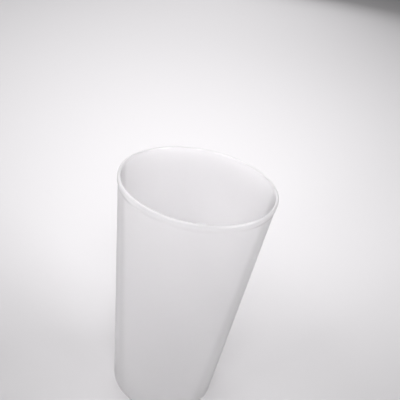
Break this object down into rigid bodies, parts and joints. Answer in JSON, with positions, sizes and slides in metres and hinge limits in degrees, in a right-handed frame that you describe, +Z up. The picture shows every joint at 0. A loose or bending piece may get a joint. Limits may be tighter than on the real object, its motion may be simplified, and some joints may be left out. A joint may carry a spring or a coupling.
{
  "type": "reusable drinking cup",
  "caption": "One-piece tapered cup of frosted translucent plastic with a slim rounded lip, a recessed base and inner stacking ribs.",
  "frame": {"origin": "centre of the ring that the cup stands on, at the height of the table", "axes": "+Z up along the cup's axis, from the base to the mouth; X and Y are alike apart from the ribs, one of which lies on +X"},
  "size_m": [0.0856, 0.0856, 0.14],
  "materials": {
    "frosted_plastic": "satin frosted, milky translucent"
  },
  "bodies": {
    "root": {"cup": "frosted_plastic"}
  },
  "joints": []
}
